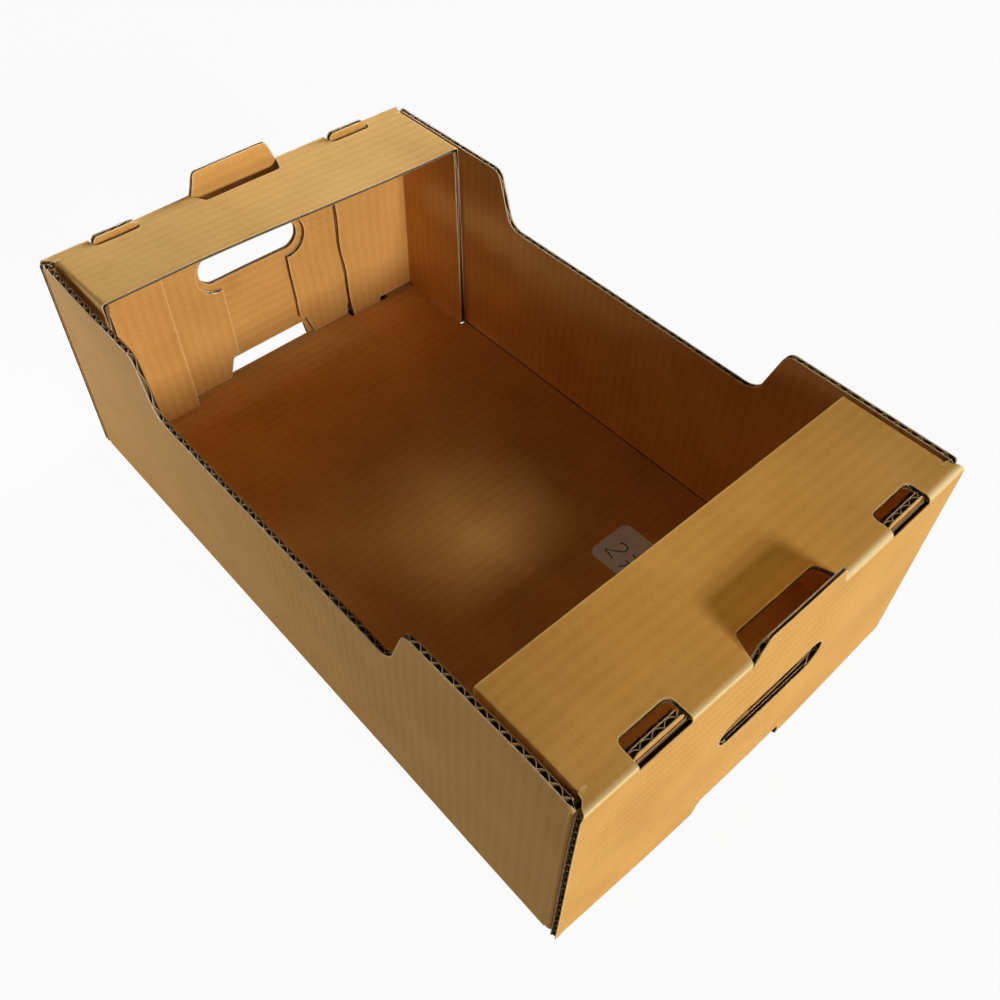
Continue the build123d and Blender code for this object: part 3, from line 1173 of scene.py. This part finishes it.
def kraftMaterial(name, color):
    # A liner: clouds, fibres across the flutes, washboard over them with painted shade along it, flecks,
    # worn edges, folds worn pale with a painted highlight, and painted shade in the walls' inner folds
    finish = kraftFinish
    material, tree, shader = newMaterial(name, finish)
    place = addAttribute(tree, "sheetPlace", "Vector")
    across = 1 / (finish["fibreAcross"] * mm)
    stretch = finish["fibreAcross"] / finish["fibreAlong"]
    cloud = addNoise(tree, place, 1 / (finish["cloudSize"] * mm), 4.0)
    patch = addNoise(tree, place, finish["patchScale"], 2.0)
    fibre = addNoise(tree, place, across, 3.0, (1.0, stretch, 1.0))
    longFibre = addNoise(tree, place, across / 3, 2.0, (1.0, finish["longFibre"], 1.0))
    split = tree.nodes.new("ShaderNodeSeparateXYZ")
    tree.links.new(place, split.inputs[0])
    perFlute = 2 * math.pi / (board["pitch"] * mm)
    phase = addSum(tree, ((split.outputs[1], perFlute), (cloud, finish["washWander"])))
    # The washboard, a sine along the flutes, is both relief and painted shade in the colour tone
    wash = addMath(tree, "SINE", phase)
    layers = (cloud, fibre, longFibre, patch, wash)
    tone = addSum(tree, zip(layers, finish["toneShares"]), finish["toneStart"])
    ramp = tree.nodes.new("ShaderNodeValToRGB")
    stops = ramp.color_ramp.elements
    for stop, (position, factors) in zip(stops, finish["rampEnds"]):
        stop.position = position
        stop.color = (*(c * f for c, f in zip(color, factors)), 1)
    stops.new(0.5).color = (*color, 1)
    tree.links.new(tone, ramp.inputs["Fac"])
    painted = ramp.outputs["Color"]
    for size, low, high, share, fleck in finish["flecks"]:
        speck = addNoise(tree, place, 1 / (size * mm), 1.0)
        painted = addBlend(tree, addRange(tree, speck, low, high, 0.0, share), painted, fleck)
    # Worn cut edges, and folds lightened with wear and a painted highlight
    foldWearAndPaintedLight = addAttribute(tree, "foldWearAndPaintedLight", "Fac")
    edge = addRange(tree, addAttribute(tree, "cutEdge", "Fac"), 0.0, finish["edgeWear"], 0.6, 0.0)
    wearAndHighlight = addMath(tree, "MAXIMUM", edge, foldWearAndPaintedLight)
    wearAndHighlight = addMath(tree, "MULTIPLY", wearAndHighlight, addRange(tree, fibre, 0.2, 0.6, 0.7, 1.0), clamp=True)
    painted = addBlend(tree, wearAndHighlight, painted, finish["wornAndHighlight"])
    # Painted shade darkens the inner side of the walls' floor folds
    paintedFoldShade = addMath(tree, "MULTIPLY", foldWearAndPaintedLight, finish["paintedFoldShadeShare"], clamp=True)
    painted = addBlend(tree, paintedFoldShade, painted, finish["paintedFoldShade"])
    tree.links.new(painted, shader.inputs["Base Color"])
    rough = finish["roughness"]
    rough = addRange(tree, fibre, 0.3, 0.7, rough - 0.06, rough + 0.08)
    tree.links.new(rough, shader.inputs["Roughness"])
    addBump(tree, shader, addSum(tree, zip((wash, fibre, cloud), finish["reliefs"])))
    return material


def mottledMaterial(name, finish, onSheet=False):
    # Matt stuff, mottled between a darker and a paler tone of its colour
    material, tree, shader = newMaterial(name, finish)
    if onSheet:
        place = addAttribute(tree, "sheetPlace", "Vector")
    else:
        place = tree.nodes.new("ShaderNodeNewGeometry").outputs["Position"]
    grains = [(addNoise(tree, place, scale, detail), share) for scale, detail, share in finish["grains"]]
    factor = addRange(tree, addSum(tree, grains), *finish["range"])
    low, high = [tuple(c * tone for c in finish["color"]) for tone in finish["tones"]]
    tree.links.new(addBlend(tree, factor, low, high), shader.inputs["Base Color"])
    if finish["relief"]:
        addBump(tree, shader, addMath(tree, "MULTIPLY", grains[0][0], finish["relief"]))
    return material


def newStore():
    return {key: [] for key in ("points", "faces", "places", "edges", "foldWearAndPaintedLightValues", "kinds")}


def makeTray():
    liners = newStore()
    flutes = newStore()
    dice = random.Random(11)
    for strip in strips:
        linerFaces(strip, liners)
        fluteFaces(strip, flutes, dice)
    rim = mottledMaterial("kraftCutRim", rimFinish, onSheet=True)
    shadedCore = mottledMaterial("kraftCorePaintedShade", paintedShadeCoreFinish, onSheet=True)
    outer = kraftMaterial("kraftOuter", kraftFinish["outer"])
    inner = kraftMaterial("kraftInner", kraftFinish["inner"])
    linerPiece = meshObject("tray_liners", liners, [outer, inner, rim, shadedCore], 35)
    flutePiece = meshObject("tray_flutes", flutes, [shadedCore, rim], 55)
    for piece in (linerPiece, flutePiece):
        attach(piece, "root")
        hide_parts("tray")
        print(piece.name, sum(len(p.vertices) - 2 for p in piece.data.polygons), "triangles")


makeTray()

# Paper label with a plain number in pen, in mm
labelSheet = {
    "thick": 0.14,
    "radius": 6.5,
    "step": 1.6,
    "cornerCurl": 0.7,       # how far the paper lifts towards a corner
    "curlReach": 15.0,
    "wrinkle": 0.12,
    "bed": 0.03,             # glue under the paper
    "penWidth": 1.5,
    "penRise": 0.02,
    "penHeight": 15.0,
    "penTurn": -103.0,       # degrees
    "penPlace": (-9.5, 13.2),
    "digitStep": 0.92,       # in heights of a digit
}
paperFinish = {
    "color": (0.93, 0.97, 1.0),
    "roughness": 0.62,
    "specular": 0.3,
    "grains": ((1500.0, 3.0, 0.4), (90.0, 3.0, 0.6)),
    "range": (0.3, 0.7),
    "tones": (0.86, 1.12),
    "relief": 0.02,
}
inkFinish = {
    "color": (0.012, 0.012, 0.014),
    "roughness": 0.5,
    "specular": 0.5,
    "grains": ((700.0, 2.0, 1.0),),
    "range": (0.45, 0.75),
    "tones": (1.0, 3.5),
    "relief": 0.0,
}
penStrokes = {
    "2": [[(0.05, 0.80), (0.16, 0.97), (0.42, 1.0), (0.58, 0.84), (0.50, 0.60), (0.25, 0.30),
           (0.02, 0.02), (0.34, 0.04), (0.66, 0.01)]],
    "7": [[(0.0, 0.97), (0.30, 0.99), (0.62, 0.96), (0.45, 0.62), (0.32, 0.30), (0.24, 0.0)],
          [(0.12, 0.50), (0.34, 0.53), (0.56, 0.52)]],
}


def labelRise(x, y):
    # Height of the paper over the floor, at a place measured from its centre
    half = (labelHigh - labelLow) / mm / 2
    corner = max(0.0, 1 - math.hypot(half.x - abs(x), half.y - abs(y)) / labelSheet["curlReach"])
    share = 0.25 if y < 0 else (1.0 if x < 0 else 0.55)
    wave = labelSheet["wrinkle"] * (0.5 + noise.noise((x / 9, y / 9, 2.0)))
    return labelSheet["bed"] + max(0.0, wave) + labelSheet["cornerCurl"] * share * corner * corner


def labelPoint(x, y, n):
    centre = (labelLow + labelHigh) / mm / 2
    px, py, pz = settle("label", centre.x + x, centre.y + y, thick)
    return px * mm, py * mm, (pz + labelRise(x, y) + n) * mm


def flatSkin(loop, step):
    # Triangles over a flat outline, with inner points every step
    low, high = np.array(loop).min(0), np.array(loop).max(0)
    grid = np.array([(a, b) for a in np.arange(low[0] + step, high[0], step)
                     for b in np.arange(low[1] + step, high[1], step)])
    keep = insideLoops(grid, [loop]) & (ringDistance(grid, loop) > step * 0.4)
    edges = [(k, (k + 1) % len(loop)) for k in range(len(loop))]
    return triangulated(loop + [tuple(p) for p in grid[keep]], edges, [loop])


def makeLabel():
    half = (labelHigh - labelLow) / mm / 2
    radius = labelSheet["radius"]
    signs = ((1, -1), (1, 1), (-1, 1), (-1, -1))
    loop = roundedLoop([(half.x * a, half.y * b, radius) for a, b in signs])
    flat, faces = flatSkin(loop, labelSheet["step"])
    store = newStore()
    count = len(flat)
    for n in (0.0, labelSheet["thick"]):
        for x, y in flat:
            store["points"].append(labelPoint(x, y, n))
    first, second, third = flat[faces[0]]
    if (second - first)[0] * (third - first)[1] < (second - first)[1] * (third - first)[0]:
        faces = faces[:, ::-1]
    for a, b, c in faces:
        store["faces"] += [(a + count, b + count, c + count), (c, b, a)]
    for a, b in borderPairs(faces):
        store["faces"].append((a, b, b + count, a + count))
    paper = meshObject("label_paper", store, [mottledMaterial("labelPaper", paperFinish)], 40)
    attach(paper, "root")
    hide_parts("label")


def penLine(points):
    # A smooth line through the points of a stroke
    line = []
    for k in range(len(points) - 1):
        before = Vector(points[max(0, k - 1)])
        here, after = Vector(points[k]), Vector(points[k + 1])
        beyond = Vector(points[min(len(points) - 1, k + 2)])
        for j in range(5):
            f = j / 5
            bend = 2 * before - 5 * here + 4 * after - beyond
            twist = 3 * here - before - 3 * after + beyond
            line.append(0.5 * (2 * here + (after - before) * f + bend * f ** 2 + twist * f ** 3))
    line.append(Vector(points[-1]))
    return line


def addStroke(store, line, number):
    # A thin ribbon of ink along a line on the paper
    first = len(store["points"])
    lastRow = len(line) - 1
    for k, point in enumerate(line):
        ahead = (line[min(k + 1, lastRow)] - line[max(k - 1, 0)]).normalized()
        side = Vector((-ahead.y, ahead.x))
        width = labelSheet["penWidth"] * (0.85 + 0.3 * noise.noise((k / 4, number, 1.0)))
        width *= 0.6 if k in (0, lastRow) else 1.0
        for n in (labelSheet["thick"] - 0.01, labelSheet["thick"] + labelSheet["penRise"]):
            for way in (-1, 1):
                spot = point + side * width / 2 * way
                store["points"].append(labelPoint(spot.x, spot.y, n))
    for k in range(lastRow):
        a = first + 4 * k
        b = a + 4
        store["faces"] += [(a + 3, a + 2, b + 2, b + 3), (a, a + 1, b + 1, b),
                           (a + 2, a, b, b + 2), (a + 1, a + 3, b + 3, b + 1)]
    last = first + 4 * lastRow
    store["faces"].append((first, first + 2, first + 3, first + 1))
    store["faces"].append((last + 1, last + 3, last + 2, last))


def makePenNumber(digits):
    store = newStore()
    size = labelSheet["penHeight"]
    turn = Matrix.Rotation(math.radians(labelSheet["penTurn"]), 2)
    start = Vector(labelSheet["penPlace"])
    for number, digit in enumerate(digits):
        shift = Vector((number * labelSheet["digitStep"], 0))
        for stroke in penStrokes[digit]:
            line = [turn @ ((point + shift) * size) + start for point in penLine(stroke)]
            addStroke(store, line, number)
    ink = meshObject("label_number", store, [mottledMaterial("penInk", inkFinish)], 40)
    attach(ink, "root")


makeLabel()
makePenNumber("27")
print("label laid on the floor")

# Floor and light
stageSetting = {
    "floorSize": 12.0,
    "floorDrop": 0.0006,
    "floorColor": (0.70, 0.70, 0.70),
    "roughness": 0.9,
    "specular": 0.0,
    "whiteShare": 0.94,
    "paintedShadowColor": (0.05, 0.03, 0.02),
    "paintedShadowInset": 0.006,         # the floor under the tray is painted dark as its shadow, to this far inside its walls
    "clearHalf": 0.045,          # the middle, which shows through the notches of the ends
    "worldHorizon": 0.075,       # light from the sides, up to the height below
    "worldHeight": 0.30,
    "worldZenith": 0.02,
    "aim": (0.0, 0.0, 0.1),
}
# Each lamp: place and size in metres, power in watts
lamps = {
    "keyLamp": {"place": (0.0, -5.62, 2.16), "size": (1.7, 0.75), "power": 282.0,
                "color": (1, 0.99, 0.96)},
    "skyLamp": {"place": (0.95, 1.0, 1.7), "size": (1.6, 1.6), "power": 1.2,
                "color": (1.0, 0.76, 0.40)},
    "shelfLamp": {"place": (0.75, 0.32, 0.42), "size": (0.3, 0.3), "power": 1.0,
                  "color": (0.70, 0.80, 1.0), "aim": (-0.12, 0.27, 0.166), "spread": 34.0},
    "nearLamp": {"place": (0.2, 0.95, 0.64), "size": (0.25, 0.1), "power": 0.10,
                 "color": (1.0, 0.75, 0.25), "aim": (0.0, -0.21, 0.166), "spread": 16.0},
    "leftLamp": {"place": (-0.55, 0.62, 0.06), "size": (0.5, 0.08), "power": 1.9,
                 "color": (0.82, 0.86, 1.0)},
    "rightLamp": {"place": (1.9, 0.10, 0.12), "size": (1.2, 0.15), "power": 11.0,
                  "color": (1, 1, 1)},
}


def makeLamp(name, setting, aim):
    data = bpy.data.lights.new(name, "AREA")
    data.shape = "RECTANGLE"
    data.size, data.size_y = setting["size"]
    data.energy = setting["power"]
    data.color = setting["color"]
    data.spread = math.radians(setting.get("spread", 180))
    lamp = bpy.data.objects.new(name, data)
    lamp.location = setting["place"]
    toward = Vector(setting["place"]) - Vector(setting.get("aim", aim))
    lamp.rotation_euler = toward.to_track_quat("Z", "Y").to_euler()
    lamp.visible_camera = False
    bpy.context.scene.collection.objects.link(lamp)


def seenShare(tree, share):
    # share where the camera, gloss or glass sees the surface, else 0
    lightPath = tree.nodes.new("ShaderNodeLightPath")
    seen = addMath(tree, "ADD", lightPath.outputs["Is Camera Ray"], lightPath.outputs["Is Glossy Ray"])
    seen = addMath(tree, "ADD", seen, lightPath.outputs["Is Transmission Ray"], clamp=True)
    return addMath(tree, "MULTIPLY", seen, share)


def makeStageFloor(setting):
    half = setting["floorSize"] / 2
    mesh = bpy.data.meshes.new("floorPlane")
    signs = ((-1, -1), (1, -1), (1, 1), (-1, 1))
    spots = [(half * a, half * b, -setting["floorDrop"]) for a, b in signs]
    mesh.from_pydata(spots, [], [(0, 1, 2, 3)])
    floor = bpy.data.objects.new("floorPlane", mesh)
    bpy.context.scene.collection.objects.link(floor)
    material, tree, shader = newMaterial("paleFloor", setting)
    glow = tree.nodes.new("ShaderNodeEmission")
    place = tree.nodes.new("ShaderNodeSeparateXYZ")
    tree.links.new(tree.nodes.new("ShaderNodeNewGeometry").outputs["Position"], place.inputs[0])
    # Under the tray, apart from its middle, the floor gets no glow and is painted dark as shadow
    fromX, fromY = [addMath(tree, "ABSOLUTE", place.outputs[axis]) for axis in (0, 1)]
    beyondX = addMath(tree, "GREATER_THAN", fromX, trayHigh.x - setting["paintedShadowInset"])
    beyondY = addMath(tree, "GREATER_THAN", fromY, trayHigh.y - setting["paintedShadowInset"])
    atMiddle = addMath(tree, "LESS_THAN", fromX, setting["clearHalf"])
    outside = addMath(tree, "MAXIMUM", addMath(tree, "MAXIMUM", beyondX, beyondY), atMiddle)
    # Painted shadow colour under the tray, pale floor colour elsewhere
    color = addBlend(tree, outside, setting["paintedShadowColor"], setting["floorColor"])
    tree.links.new(color, shader.inputs["Base Color"])
    mix = tree.nodes.new("ShaderNodeMixShader")
    seen = seenShare(tree, setting["whiteShare"])
    tree.links.new(addMath(tree, "MULTIPLY", seen, outside), mix.inputs["Fac"])
    tree.links.new(shader.outputs[0], mix.inputs[1])
    tree.links.new(glow.outputs[0], mix.inputs[2])
    tree.links.new(mix.outputs[0], tree.nodes["Material Output"].inputs["Surface"])
    mesh.materials.append(material)


def makeStudioWorld(setting):
    # Soft light from the sides of the room, less from above, and white where it is seen
    world = bpy.data.worlds.new("studio")
    world.use_nodes = True
    tree = world.node_tree
    background = tree.nodes["Background"]
    background.inputs["Color"].default_value = (1, 1, 1, 1)
    split = tree.nodes.new("ShaderNodeSeparateXYZ")
    tree.links.new(tree.nodes.new("ShaderNodeTexCoord").outputs["Generated"], split.inputs[0])
    light = addRange(tree, split.outputs[2], 0.0, setting["worldHeight"], setting["worldHorizon"],
                     setting["worldZenith"])
    tree.links.new(addMath(tree, "MAXIMUM", light, seenShare(tree, 1.0)), background.inputs["Strength"])
    bpy.context.scene.world = world


makeStageFloor(stageSetting)
makeStudioWorld(stageSetting)
for lampName, lampSetting in lamps.items():
    makeLamp(lampName, lampSetting, stageSetting["aim"])
bpy.context.scene.view_settings.view_transform = "Standard"
print("stage ready")
